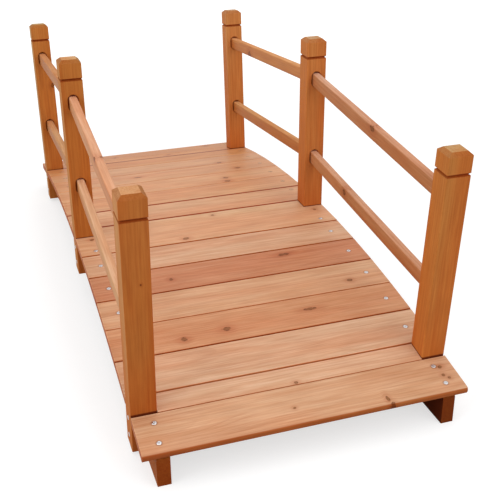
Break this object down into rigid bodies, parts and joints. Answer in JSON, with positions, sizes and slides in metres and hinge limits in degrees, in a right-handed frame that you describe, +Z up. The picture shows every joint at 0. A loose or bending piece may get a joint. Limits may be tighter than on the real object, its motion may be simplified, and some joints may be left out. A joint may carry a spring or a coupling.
{
  "type": "arched garden bridge",
  "caption": "Small arched wooden garden bridge: cross boards on two cut beams, with capped posts and sloping rails set in slots along both sides.",
  "frame": {"origin": "on the ground under the middle of the bridge", "axes": "+X along the walk towards the front end, +Y across it to the right hand of a viewer at the front end, +Z up"},
  "size_m": [1.4276, 0.603, 0.5582],
  "materials": {
    "beam_wood": "oiled softwood, dark under the deck",
    "post_wood": "oiled softwood, warm orange brown, satin",
    "rail_wood": "oiled softwood, satin",
    "board_wood": "oiled softwood, pale reddish tan, satin",
    "screw_steel": "bright zinc plated steel"
  },
  "bodies": {
    "root": {"left_beam": "beam_wood", "right_beam": "beam_wood", "front_left_post": "post_wood", "front_right_post": "post_wood", "middle_left_post": "post_wood", "middle_right_post": "post_wood", "rear_left_post": "post_wood", "rear_right_post": "post_wood", "front_left_top_rail": "rail_wood", "front_left_lower_rail": "rail_wood", "front_right_top_rail": "rail_wood", "front_right_lower_rail": "rail_wood", "rear_left_top_rail": "rail_wood", "rear_left_lower_rail": "rail_wood", "rear_right_top_rail": "rail_wood", "rear_right_lower_rail": "rail_wood", "front_nose_board": "board_wood", "front_filler_board": "board_wood", "front_board_6": "board_wood", "front_board_5": "board_wood", "front_board_4": "board_wood", "front_board_3": "board_wood", "front_board_2": "board_wood", "crown_board": "board_wood", "rear_board_1": "board_wood", "rear_board_2": "board_wood", "rear_board_3": "board_wood", "rear_board_4": "board_wood", "rear_board_5": "board_wood", "rear_board_6": "board_wood", "rear_filler_board": "board_wood", "rear_nose_board": "board_wood"}
  },
  "joints": []
}
